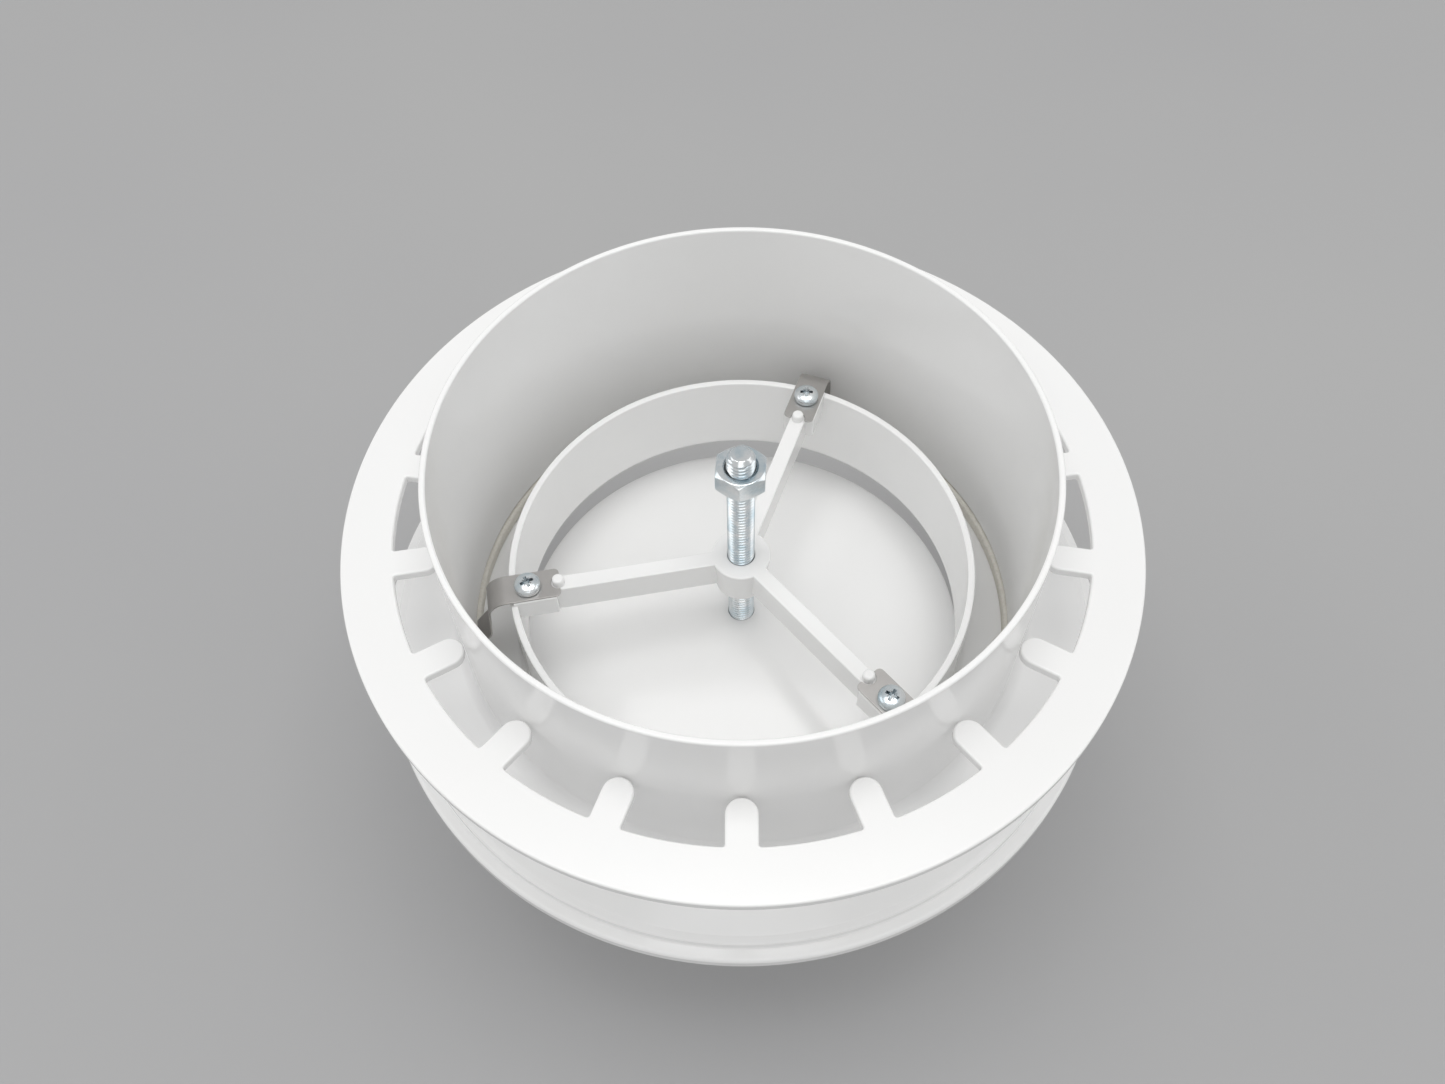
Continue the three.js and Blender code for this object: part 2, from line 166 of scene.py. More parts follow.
def ring_faces(columns, rows, on_axis=()):
    """Faces between closed columns of points set round an axis, none between two on the axis."""
    faces = []
    for i in range(columns):
        here, beside = i * rows, (i + 1) % columns * rows
        for j in range(rows):
            k = (j + 1) % rows
            if not (j in on_axis and k in on_axis):
                faces.append((here + j, beside + j, beside + k, here + k))
    return faces


def turned(name, outline, segments=240):
    """A body turned about Z from a closed outline of (radius, height) points."""
    vertices = []
    for i in range(segments):
        angle = 2 * math.pi * i / segments
        vertices += [(r * math.cos(angle), r * math.sin(angle), z) for r, z in outline]
    on_axis = [j for j, (r, z) in enumerate(outline) if r == 0]
    return new_piece(name, vertices, ring_faces(segments, len(outline), on_axis))


# %% Settle modifiers into a plain mesh, and shade it
def settle(piece):
    """Makes what the piece's modifiers give its own plain mesh, and removes them."""
    graph = bpy.context.evaluated_depsgraph_get()
    made = bpy.data.meshes.new_from_object(
        piece.evaluated_get(graph), preserve_all_data_layers=True, depsgraph=graph)
    plain = piece.data
    piece.modifiers.clear()
    piece.data = made
    bpy.data.meshes.remove(plain)
    made.name = piece.name
    return piece


def shade(piece, angle=SMOOTH_TO):
    """Smooth shading up to an angle, with wide faces ruling the normals."""
    piece.data.polygons.foreach_set("use_smooth", [True] * len(piece.data.polygons))
    piece.data.set_sharp_from_angle(angle=angle)
    weigh = piece.modifiers.new("weigh", "WEIGHTED_NORMAL")
    weigh.keep_sharp = True
    weigh.weight = 90
    return settle(piece)


def report(piece):
    """Prints what a finished piece holds."""
    size = [round(v / MM, 1) for v in piece.dimensions]
    print(f"{piece.name}: {len(piece.data.polygons)} faces, {size} mm")


# %% [markdown]
# ## Joining and cutting
#
# Where several shapes were moulded as one, a boolean union gives one closed skin with no faces
# hidden inside, which also keeps the mesh fit for printing. The exact solver copes with the flush
# tops of the arms, the hub and the collar.


# %% Boolean helper
def combine(piece, other, operation):
    """Joins or cuts a piece with another, which is used up."""
    change = piece.modifiers.new("change", "BOOLEAN")
    change.object = other
    change.operation = operation
    change.solver = "EXACT"
    change.use_self = True
    settle(piece)
    bpy.data.objects.remove(other)
    return piece


# %% A block with round edges
BOX_FACES = [(0, 2, 3, 1), (4, 5, 7, 6), (0, 1, 5, 4), (2, 6, 7, 3), (0, 4, 6, 2), (1, 3, 7, 5)]


def add_bevel(piece, radius, segments):
    """A bevel modifier on a piece's sharp edges, its radius in millimetres."""
    edge = piece.modifiers.new("edge", "BEVEL")
    edge.width = radius * MM
    edge.segments = segments
    edge.limit_method = "ANGLE"
    return edge


def block(name, low, high, radius):
    """A box between two corners in millimetres, its edges rounded."""
    corners = [(x, y, z) for z in (low[2], high[2]) for y in (low[1], high[1]) for x in (low[0], high[0])]
    piece = new_piece(name, corners, BOX_FACES)
    add_bevel(piece, radius, 4)
    return settle(piece)


# %% [markdown]
# ## Repeating about the axis
#
# Fingers, arms, clips and screws all repeat round the duct. One Geometry Nodes tree does it for
# every one of them: it makes a point for each copy, turns each copy about Z, makes them real and
# welds the joins, so a ring built from equal sectors comes out as one closed band.


# %% Helpers for node trees
def new_tree(name, inputs):
    """A Geometry Nodes tree with a geometry input and named inputs of (name, socket type)."""
    tree = bpy.data.node_groups.new(name, "GeometryNodeTree")
    tree.interface.new_socket("Geometry", in_out="INPUT", socket_type="NodeSocketGeometry")
    for label, kind in inputs:
        tree.interface.new_socket(label, in_out="INPUT", socket_type=kind)
    tree.interface.new_socket("Geometry", in_out="OUTPUT", socket_type="NodeSocketGeometry")
    return tree, tree.nodes.new("NodeGroupInput"), tree.nodes.new("NodeGroupOutput")


def feed(tree, socket, value):
    """Gives an input socket a link, if the value is a socket, or else the plain value."""
    if isinstance(value, bpy.types.NodeSocket):
        tree.links.new(value, socket)
    else:
        socket.default_value = value


def calc(tree, operation, *values):
    """A Math node fed by sockets or plain numbers, giving its output socket."""
    node = tree.nodes.new("ShaderNodeMath")
    node.operation = operation
    for socket, value in zip(node.inputs, values):
        feed(tree, socket, value)
    return node.outputs[0]


def run_tree(piece, tree, **values):
    """Runs a tree on a piece as a modifier, its inputs set by identifier, and settles it."""
    work = piece.modifiers.new(tree.name, "NODES")
    work.node_group = tree
    sockets = {item.name: item for item in tree.interface.items_tree if item.in_out == "INPUT"}
    for label, value in values.items():
        work[sockets[label].identifier] = value
    return settle(piece)


# %% The tree that repeats a piece round Z
def close_tree(tree, geometry, given, end, merge):
    """Makes copies real, welds them, sets the material and ends the tree."""
    real = tree.nodes.new("GeometryNodeRealizeInstances")
    weld = tree.nodes.new("GeometryNodeMergeByDistance")
    weld.inputs["Distance"].default_value = merge
    paint = tree.nodes.new("GeometryNodeSetMaterial")
    tree.links.new(geometry, real.inputs["Geometry"])
    tree.links.new(real.outputs["Geometry"], weld.inputs["Geometry"])
    tree.links.new(weld.outputs["Geometry"], paint.inputs["Geometry"])
    tree.links.new(given.outputs["Material"], paint.inputs["Material"])
    tree.links.new(paint.outputs["Geometry"], end.inputs["Geometry"])


def about_axis_tree():
    tree, given, end = new_tree("about_axis", [
        ("Count", "NodeSocketInt"), ("First", "NodeSocketFloat"), ("Material", "NodeSocketMaterial")])
    places = tree.nodes.new("GeometryNodePoints")
    tree.links.new(given.outputs["Count"], places.inputs["Count"])
    index = tree.nodes.new("GeometryNodeInputIndex")
    step = calc(tree, "DIVIDE", 2 * math.pi, given.outputs["Count"])
    turn = calc(tree, "MULTIPLY_ADD", index.outputs[0], step, given.outputs["First"])
    spin = tree.nodes.new("ShaderNodeCombineXYZ")
    tree.links.new(turn, spin.inputs["Z"])
    copies = tree.nodes.new("GeometryNodeInstanceOnPoints")
    tree.links.new(places.outputs[0], copies.inputs["Points"])
    tree.links.new(given.outputs["Geometry"], copies.inputs["Instance"])
    tree.links.new(spin.outputs[0], copies.inputs["Rotation"])
    close_tree(tree, copies.outputs[0], given, end, MERGE * 5)
    return tree


about_axis = about_axis_tree()
print("about_axis has", len(about_axis.nodes), "nodes")

# %% [markdown]
# ## Shared surface effects
#
# Three small shader groups serve several finishes. `slow_tint` drifts a colour over a few
# centimetres, as plating and plastic both do. `handling` gives the fine scuffs that make gloss
# uneven. `worn_edge` finds convex edges by comparing the true normal with a rounded one. Each puts
# out only colours or masks, and the shader itself stays in the material.


# %% Helpers for shader groups
def shader_group(name, inputs, outputs):
    """A shader node group with named inputs of (name, type, default) and outputs of (name, type)."""
    group = bpy.data.node_groups.new(name, "ShaderNodeTree")
    for label, kind, value in inputs:
        socket = group.interface.new_socket(label, in_out="INPUT", socket_type="NodeSocket" + kind)
        socket.default_value = value
    for label, kind in outputs:
        group.interface.new_socket(label, in_out="OUTPUT", socket_type="NodeSocket" + kind)
    return group, group.nodes.new("NodeGroupInput"), group.nodes.new("NodeGroupOutput")


def noise(tree, vector, scale, detail=4.0, roughness=0.55):
    """A noise texture's value socket."""
    node = tree.nodes.new("ShaderNodeTexNoise")
    node.inputs["Detail"].default_value = detail
    node.inputs["Roughness"].default_value = roughness
    tree.links.new(vector, node.inputs["Vector"])
    feed(tree, node.inputs["Scale"], scale)
    return node.outputs["Fac"]


def remap(tree, value, low, high, to_low, to_high):
    """A value moved from one range to another, held inside it."""
    node = tree.nodes.new("ShaderNodeMapRange")
    tree.links.new(value, node.inputs["Value"])
    for label, number in (("From Min", low), ("From Max", high), ("To Min", to_low), ("To Max", to_high)):
        node.inputs[label].default_value = number
    return node.outputs["Result"]


def mixed(tree, share, first, second):
    """Two colours mixed by a mask; each is a socket or a plain colour."""
    mix = tree.nodes.new("ShaderNodeMix")
    mix.data_type = "RGBA"
    tree.links.new(share, mix.inputs["Factor"])
    feed(tree, mix.inputs["A"], first)
    feed(tree, mix.inputs["B"], second)
    return mix.outputs["Result"]


# %% slow_tint, handling and worn_edge
def slow_tint_group():
    group, given, end = shader_group("slow_tint", [
        ("Vector", "Vector", (0, 0, 0)), ("Colour", "Color", (1, 1, 1, 1)),
        ("Drift Colour", "Color", (1, 1, 1, 1)), ("Scale", "Float", 20.0)], [("Colour", "Color")])
    cloud = noise(group, given.outputs["Vector"], given.outputs["Scale"], 3.0)
    share = remap(group, cloud, 0.35, 0.7, 0.0, 1.0)
    colour = mixed(group, share, given.outputs["Colour"], given.outputs["Drift Colour"])
    group.links.new(colour, end.inputs["Colour"])
    return group


def handling_group():
    group, given, end = shader_group("handling", [
        ("Vector", "Vector", (0, 0, 0)), ("Smooth", "Float", 0.2), ("Scuffed", "Float", 0.35)],
        [("Roughness", "Float"), ("Height", "Float")])
    long_way = group.nodes.new("ShaderNodeMapping")
    long_way.inputs["Rotation"].default_value = (0.2, 0.1, 0.7)
    long_way.inputs["Scale"].default_value = (1.0, 14.0, 3.0)
    group.links.new(given.outputs["Vector"], long_way.inputs["Vector"])
    scratch = remap(group, noise(group, long_way.outputs[0], 90.0, 3.0, 0.7), 0.62, 0.72, 0.0, 1.0)
    patch = remap(group, noise(group, given.outputs["Vector"], 28.0, 5.0), 0.4, 0.75, 0.0, 1.0)
    scuff = calc(group, "MULTIPLY", scratch, patch)
    share = calc(group, "ADD", calc(group, "MULTIPLY", patch, 0.45), calc(group, "MULTIPLY", scuff, 0.55))
    span = calc(group, "SUBTRACT", given.outputs["Scuffed"], given.outputs["Smooth"])
    group.links.new(calc(group, "MULTIPLY_ADD", share, span, given.outputs["Smooth"]), end.inputs[0])
    group.links.new(calc(group, "SUBTRACT", 1.0, scuff), end.inputs[1])
    return group


def worn_edge_group():
    group, given, end = shader_group("worn_edge", [
        ("Vector", "Vector", (0, 0, 0)), ("Radius", "Float", 0.0004)], [("Mask", "Float")])
    soft = group.nodes.new("ShaderNodeBevel")
    soft.samples = 3
    group.links.new(given.outputs["Radius"], soft.inputs["Radius"])
    true = group.nodes.new("ShaderNodeNewGeometry")
    agree = group.nodes.new("ShaderNodeVectorMath")
    agree.operation = "DOT_PRODUCT"
    group.links.new(soft.outputs["Normal"], agree.inputs[0])
    group.links.new(true.outputs["Normal"], agree.inputs[1])
    bent = remap(group, agree.outputs["Value"], 0.985, 0.9, 0.0, 1.0)
    broken = remap(group, noise(group, given.outputs["Vector"], 260.0, 3.0), 0.42, 0.62, 0.0, 1.0)
    group.links.new(calc(group, "MULTIPLY", bent, broken), end.inputs["Mask"])
    return group


slow_tint = slow_tint_group()
handling = handling_group()
worn_edge = worn_edge_group()
print("shader groups:", slow_tint.name, handling.name, worn_edge.name)

# %% [markdown]
# ## The four finishes
#
# The white is glossy ABS straight from a polished mould: nearly smooth, with faint waviness where
# the wall shrank. The clips are rolled stainless strip, whose grain runs along the strip, so that
# pattern follows the strip's own map. Screws, nuts and spindle are bright zinc with a bluish film.
# The seal is closed-cell foam. Values that are the same all over are set on the shader itself.


# %% Helpers for materials
def new_finish(name):
    """A material with its node tree, shader and the piece's own coordinates."""
    material = bpy.data.materials.new(name)
    material.use_nodes = True
    tree = material.node_tree
    shader = tree.nodes["Principled BSDF"]
    place = tree.nodes.new("ShaderNodeTexCoord")
    return material, tree, shader, place.outputs["Object"]


def use(tree, group, vector=None, **values):
    """Places a shader group in a material, with its own values."""
    node = tree.nodes.new("ShaderNodeGroup")
    node.node_tree = group
    if vector is not None:
        tree.links.new(vector, node.inputs["Vector"])
    for label, value in values.items():
        node.inputs[label.replace("_", " ")].default_value = value
    return node


def add_bump(tree, shader, height, strength, depth):
    """A bump from a height socket into the shader's normal; depth in metres."""
    bump = tree.nodes.new("ShaderNodeBump")
    bump.inputs["Strength"].default_value = strength
    bump.inputs["Distance"].default_value = depth
    tree.links.new(height, bump.inputs["Height"])
    tree.links.new(bump.outputs["Normal"], shader.inputs["Normal"])
    return bump


# %% Glossy white ABS
def white_abs_finish():
    material, tree, shader, place = new_finish("white_abs")
    tint = use(tree, slow_tint, place, Colour=(0.935, 0.935, 0.930, 1),
               Drift_Colour=(0.920, 0.918, 0.910, 1), Scale=16.0)
    wear = use(tree, worn_edge, place, Radius=0.0005)
    colour = mixed(tree, calc(tree, "MULTIPLY", wear.outputs[0], 0.35), tint.outputs[0],
                   (0.94, 0.94, 0.935, 1))
    tree.links.new(colour, shader.inputs["Base Color"])
    rub = use(tree, handling, place, Smooth=0.14, Scuffed=0.27)
    tree.links.new(rub.outputs["Roughness"], shader.inputs["Roughness"])
    shader.inputs["IOR"].default_value = 1.53
    shrink = noise(tree, place, 42.0, 2.0)
    height = calc(tree, "MULTIPLY_ADD", rub.outputs["Height"], 0.03, shrink)
    add_bump(tree, shader, height, 0.12, 0.0006)
    return material


# %% Rolled stainless strip
STRIP_MAP = "strip"


def stainless_finish():
    material, tree, shader, place = new_finish("stainless_spring")
    along = tree.nodes.new("ShaderNodeUVMap")
    along.uv_map = STRIP_MAP
    grain_way = tree.nodes.new("ShaderNodeMapping")
    grain_way.inputs["Scale"].default_value = (3.0, 160.0, 1.0)
    tree.links.new(along.outputs[0], grain_way.inputs["Vector"])
    grain = noise(tree, grain_way.outputs[0], 4.0, 4.0, 0.7)
    tint = use(tree, slow_tint, place, Colour=(0.50, 0.485, 0.47, 1),
               Drift_Colour=(0.57, 0.555, 0.54, 1), Scale=120.0)
    colour = mixed(tree, remap(tree, grain, 0.3, 0.7, 0.0, 0.5), tint.outputs[0], (0.42, 0.405, 0.39, 1))
    wear = use(tree, worn_edge, place, Radius=0.00018)
    colour = mixed(tree, wear.outputs[0], colour, (0.62, 0.61, 0.60, 1))
    tree.links.new(colour, shader.inputs["Base Color"])
    shader.inputs["Metallic"].default_value = 1.0
    rub = use(tree, handling, place, Smooth=0.30, Scuffed=0.48)
    tree.links.new(rub.outputs["Roughness"], shader.inputs["Roughness"])
    add_bump(tree, shader, grain, 0.10, 0.00005)
    return material


# %% Bright zinc plating
def zinc_finish():
    material, tree, shader, place = new_finish("zinc_steel")
    tint = use(tree, slow_tint, place, Colour=(0.84, 0.86, 0.87, 1),
               Drift_Colour=(0.56, 0.67, 0.73, 1), Scale=230.0)
    wear = use(tree, worn_edge, place, Radius=0.00022)
    colour = mixed(tree, wear.outputs[0], tint.outputs[0], (0.90, 0.91, 0.92, 1))
    # Painted shade: an ambient occlusion mask darkens the thread roots, nut bores and screw recesses
    # towards a dark blue-grey.
    crevice = tree.nodes.new("ShaderNodeAmbientOcclusion")
    crevice.samples = 6
    crevice.inputs["Distance"].default_value = 0.0005
    painted_crevice_shade = remap(tree, crevice.outputs["AO"], 0.25, 0.85, 1.0, 0.0)
    colour = mixed(tree, painted_crevice_shade, colour, (0.15, 0.18, 0.20, 1))
    tree.links.new(colour, shader.inputs["Base Color"])
    shader.inputs["Metallic"].default_value = 1.0
    rub = use(tree, handling, place, Smooth=0.20, Scuffed=0.36)
    tree.links.new(rub.outputs["Roughness"], shader.inputs["Roughness"])
    pits = noise(tree, place, 900.0, 4.0, 0.6)
    add_bump(tree, shader, pits, 0.18, 0.00008)
    return material


# %% Closed-cell foam
def foam_finish():
    material, tree, shader, place = new_finish("foam")
    tint = use(tree, slow_tint, place, Colour=(0.86, 0.84, 0.78, 1),
               Drift_Colour=(0.80, 0.775, 0.70, 1), Scale=60.0)
    cells = tree.nodes.new("ShaderNodeTexVoronoi")
    cells.inputs["Scale"].default_value = 1500.0
    tree.links.new(place, cells.inputs["Vector"])
    # Painted shade: each foam cell is darker towards its middle, where the bump sinks it.
    painted_pore_shade = remap(tree, cells.outputs["Distance"], 0.0, 0.6, 0.35, 0.0)
    colour = mixed(tree, painted_pore_shade, tint.outputs[0], (0.66, 0.62, 0.52, 1))
    tree.links.new(colour, shader.inputs["Base Color"])
    shader.inputs["Roughness"].default_value = 0.92
    shader.inputs["Specular IOR Level"].default_value = 0.25
    add_bump(tree, shader, cells.outputs["Distance"], 0.6, 0.0002)
    return material


FINISHES = {
    "white_abs": white_abs_finish(), "stainless_spring": stainless_finish(),
    "zinc_steel": zinc_finish(), "foam": foam_finish()}
print("finishes:", ", ".join(FINISHES))

# %% [markdown]
# ## Handing a piece over
#
# Every piece gets its finish, rides on the body that carries it, and stands for the node whose
# place it takes. That bookkeeping is the same each time, so one helper does it and prints a line.


# %% Finish, ride and replace
def hand_over(piece, slot, body, *nodes):
    """Dresses a piece, lets it ride on a body and stand for nodes of the model."""
    piece.data.materials.clear()
    piece.data.materials.append(FINISHES[slot])
    for polygon in piece.data.polygons:
        polygon.material_index = 0
    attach(piece, body)
    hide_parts(*nodes)
    report(piece)
    return piece


# %% [markdown]
# ## Mounting body
#
# The spigot is a straight tube that a duct slides over. Partway down, a cone flares out from it to
# the ceiling flange, so that from above it looks like a bell standing on a plate. Round the outside
# runs a stepped lip: the board seats on its land. One outline, with a radius at each corner, turns
# into the whole moulding.

# %% Sizes of the mounting body
SPIGOT_R = 62.3
SPIGOT_WALL = 1.3
SPIGOT_FOOT = 1.8
FLARE_TOP = (64.0, 9.2)
FLARE_SLOPE = 0.525
FLARE_WALL = 2.26
SHOULDER_R = 77.5
LAND_INNER_R = 79.25
STEP_Z = 1.9
LIP_WALL = 2.4
FLANGE_FACE = foot_of("mounting_body")


def flare(r):
    """Height of the flare's upper side at a radius."""
    return FLARE_TOP[1] - FLARE_SLOPE * (r - FLARE_TOP[0])


# %% Turn the mounting body
def mounting_outline():
    inner = SPIGOT_R - SPIGOT_WALL
    lip = FLANGE_R - LIP_WALL
    return rounded([
        (inner, SPIGOT_FOOT, 0.4),
        (SPIGOT_R, SPIGOT_FOOT, 0.4),
        (SPIGOT_R, flare(SPIGOT_R) - FLARE_WALL, 1.6),
        (lip, flare(lip) - FLARE_WALL, 0.5),
        (lip, FLANGE_FACE, 0.45),
        (FLANGE_R, FLANGE_FACE, 0.7),
        (FLANGE_R, 0, 0.8),
        (LAND_INNER_R, 0, 0.35),
        (LAND_INNER_R - 0.1, STEP_Z, 0.45),
        (SHOULDER_R, flare(SHOULDER_R), 0.6),
        (SPIGOT_R, flare(SPIGOT_R), 5.0),
        (SPIGOT_R, RIM_Z, 0.45),
        (inner, RIM_Z, 0.45),
    ], steps=8)


spigot = shade(turned("duct_spigot", mounting_outline(), 288))
hand_over(spigot, "white_abs", "mounting", "mounting_body")

# %% [markdown]
# ## Clamp ring
#
# The ring is a flat band with eighteen fingers that grip the spigot. All sectors are alike, so one
# sector is drawn and the tree repeats it. The sector is a loop of rows swept from one cut to the
# other: top, inner edge, underside and outer edge. Each row is the plan outline moved into the
# material by part of the edge radius, which rounds every edge of the finger evenly.

# %% Sizes of the ring
FINGERS = 18
BAND_INNER_R = 72.0
RING_THICKNESS = 2.2
FINGER_WIDTH = 6.1
FINGER_GAP = 0.4
RING_EDGE = 0.45
ROOT_FILLET = 0.5
FRONT = -math.pi / 2


# %% Plan outline of one sector
def finger_path():
    """Inner plan outline of a sector about +X: (point, way into the material, outer edge's angle)."""
    half = FINGER_WIDTH / 2
    tip = SPIGOT_R + FINGER_GAP + half
    cut = math.pi / FINGERS
    corner = math.asin((half + ROOT_FILLET) / BAND_INNER_R)
    root = BAND_INNER_R * math.cos(corner) - ROOT_FILLET
    side = []
    for k in range(11):
        angle = cut + (corner - cut) * k / 10
        away = Vector((math.cos(angle), math.sin(angle)))
        side.append((away * BAND_INNER_R, away, angle))
    centre = Vector((root, half + ROOT_FILLET))
    for k in range(1, 7):
        turn = -math.pi / 2 * k / 6
        away = Vector((math.cos(turn), math.sin(turn)))
        point = centre + away * ROOT_FILLET
        side.append((point, away, math.atan2(point.y, point.x)))
    widest = math.asin((half - RING_EDGE) / RING_R)
    finger = [(Vector((root + (tip - root) * k / 4, half)), Vector((0, -1))) for k in range(1, 5)]
    for k in range(1, 13):
        turn = math.pi / 2 * (1 + k / 12)
        away = Vector((math.cos(turn), math.sin(turn)))
        finger.append((Vector((tip, 0)) + away * half, -away))
    for k, (point, inward) in enumerate(finger, 1):
        side.append((point, inward, widest * (1 - k / len(finger))))
    mirrored = [(Vector((p.x, -p.y)), Vector((d.x, -d.y)), -a) for p, d, a in reversed(side[:-1])]
    return side + mirrored


# %% Sweep the sector and repeat it
def ring_rows(point, inward, outer):
    """The closed cross-section at one place of the path, as 3-D points."""
    top, low = RING_TOP, RING_TOP - RING_THICKNESS
    steps = 5
    section = []
    out, back = range(steps + 1), range(steps, -1, -1)
    rim = outer * RING_R
    for start, way, z_edge, sign, order in (
            (point, inward, top, -1, out), (point, inward, low, 1, back),
            (rim, -outer, low, 1, out), (rim, -outer, top, -1, back)):
        for k in order:
            angle = math.pi / 2 * k / steps
            place = start + way * RING_EDGE * (1 - math.sin(angle))
            drop = RING_EDGE * (1 - math.cos(angle))
            section.append((place.x, place.y, z_edge + sign * drop))
    return section


def ring_sector():
    path = finger_path()
    vertices = []
    for point, inward, angle in path:
        vertices += ring_rows(point, inward, Vector((math.cos(angle), math.sin(angle))))
    rows = len(vertices) // len(path)
    faces = []
    for i in range(len(path) - 1):
        for j in range(rows):
            k = (j + 1) % rows
            faces.append((i * rows + j, (i + 1) * rows + j, (i + 1) * rows + k, i * rows + k))
    return new_piece("board_clamp_ring", vertices, faces)


ring = run_tree(ring_sector(), about_axis, Count=FINGERS, First=FRONT, Material=FINISHES["white_abs"])
hand_over(shade(ring), "white_abs", "clamp_ring", "clamp_ring")

# %% [markdown]
# ## Valve insert
#
# Collar, flange, hub and arms are one moulding. The collar and its flange are turned. One arm is
# made of a bridge, the boss that takes the clip's screw, and the peg that stops the clip turning.
# The tree repeats it, and a union makes one skin of everything.

# %% Sizes of the insert
COLLAR_R = 51.0
COLLAR_BORE = 49.5
INSERT_FLANGE_R = 79.0
INSERT_TOP = -1.7
INSERT_FACE = foot_of("valve_body")
ARMS = 3
ARM_TURN = math.radians(70.5)
ARM_TOP = 21.25
ARM_WIDTH = 3.6
ARM_HEIGHT = 7.75
HUB_R = 6.5
HUB_FOOT_R = 5.7
HUB_HEIGHT = 10.0
HUB_BORE = 3.0
BOSS_INNER_R = 40.8
BOSS_WIDTH = 7.4
BOSS_HEIGHT = 6.0
PEG_R = 1.3
PEG_AT = 40.1
PEG_TOP = ARM_TOP + 2.0
SCREW_AT = 46.7
SCREW_HOLE_R = 1.8
FLUSH = 0.02


# %% Collar, flange and hub
def collar_outline():
    return rounded([
        (COLLAR_BORE, COLLAR_TOP, 0.35),
        (COLLAR_BORE, INSERT_FACE, 3.0),
        (INSERT_FLANGE_R, INSERT_FACE, 0.7),
        (INSERT_FLANGE_R, INSERT_TOP, 0.5),
        (COLLAR_R, INSERT_TOP, 1.6),
        (COLLAR_R, COLLAR_TOP, 0.35),
    ], steps=7)


def hub_outline():
    return rounded([
        (HUB_BORE, ARM_TOP - HUB_HEIGHT, 0.3),
        (HUB_FOOT_R, ARM_TOP - HUB_HEIGHT, 0.4),
        (HUB_R, ARM_TOP, 0.35),
        (HUB_BORE + 0.15, ARM_TOP, 0.05),
        (HUB_BORE, ARM_TOP - 0.2, 0.05),
    ], steps=4)


insert = turned("valve_insert", collar_outline(), 240)
hub = turned("hub", hub_outline(), 64)
report(insert)


# %% One arm with its boss and peg
def arm_piece():
    top = ARM_TOP - FLUSH
    bridge = block("arm", (HUB_BORE + 1.2, -ARM_WIDTH / 2, ARM_TOP - ARM_HEIGHT),
                   (BOSS_INNER_R + 1, ARM_WIDTH / 2, top), 0.3)
    boss = block("boss", (BOSS_INNER_R, -BOSS_WIDTH / 2, ARM_TOP - BOSS_HEIGHT),
                 (COLLAR_BORE + 0.8, BOSS_WIDTH / 2, top - FLUSH), 0.35)
    peg = turned("peg", rounded([
        (0, ARM_TOP - 4, 0), (PEG_R, ARM_TOP - 4, 0.3),
        (PEG_R, PEG_TOP, 0.6), (0, PEG_TOP, 0)], 5), 32)
    peg.data.transform(Matrix.Translation((PEG_AT * MM, 0, 0)))
    return combine(combine(bridge, boss, "UNION"), peg, "UNION")


def screw_hole():
    low, high = ARM_TOP - BOSS_HEIGHT - 1, ARM_TOP + 1
    hole = turned("hole", [(0, low), (SCREW_HOLE_R, low), (SCREW_HOLE_R, high), (0, high)], 40)
    hole.data.transform(Matrix.Translation((SCREW_AT * MM, 0, 0)))
    return hole


def round_the_arms(piece, slot="white_abs"):
    """Repeats a piece at each of the three arms."""
    return run_tree(piece, about_axis, Count=ARMS, First=ARM_TURN, Material=FINISHES[slot])


combine(insert, round_the_arms(arm_piece()), "UNION")
combine(insert, hub, "UNION")
combine(insert, round_the_arms(screw_hole()), "DIFFERENCE")
hand_over(shade(insert, math.radians(28)), "white_abs", "valve", "valve_body")

# %% [markdown]
# ## Foam seal
#
# A foam ring lies on the insert's flange and closes the joint under the spigot's foot. Squeezed
# foam bulges, so its section is a rectangle with generous corners. Its cells are far too small to
# model, and come from the finish.

# %% Turn the seal
SEAL_INNER_R = 60.2
SEAL_OUTER_R = 66.0
seal_top = top_of("valve_seal")
seal_outline = rounded([
    (SEAL_INNER_R, INSERT_TOP, 0.5), (SEAL_OUTER_R, INSERT_TOP, 0.5),
    (SEAL_OUTER_R, seal_top, 0.9), (SEAL_INNER_R, seal_top, 0.9)], steps=6)
seal = shade(turned("foam_seal", seal_outline, 240))
hand_over(seal, "foam", "valve", "valve_seal")

# %% [markdown]
# ## Spring clips
#
# Each clip is one stainless strip: flat over the boss, notched round the peg, bent down outside
# the collar, with a knee that presses on the spigot's wall. The flat is drawn as a plan outline
# with its notch and hole, and the rest as cross-rows that follow the bend. Thickness comes from a
# Solidify modifier and the burr-free edges from a Bevel, then the tree repeats the clip.

# %% Sizes of the clip
CLIP_HALF = 3.5
CLIP_THICKNESS = 0.4
CLIP_END = 39.8
CLIP_Z = ARM_TOP + 0.25
CLIP_BEND_R = 51.6
CLIP_BEND = 4.3
CLIP_LEAN = math.radians(5.7)
CLIP_FOOT = 9.7
CLIP_KNEE = Vector((60.35, 4.9))
CLIP_TIP = Vector((59.3, 2.5))
NOTCH_HALF = 1.65
NOTCH_AT = PEG_AT
TAB_CORNER = 1.1
STRIP_EDGE = 0.07


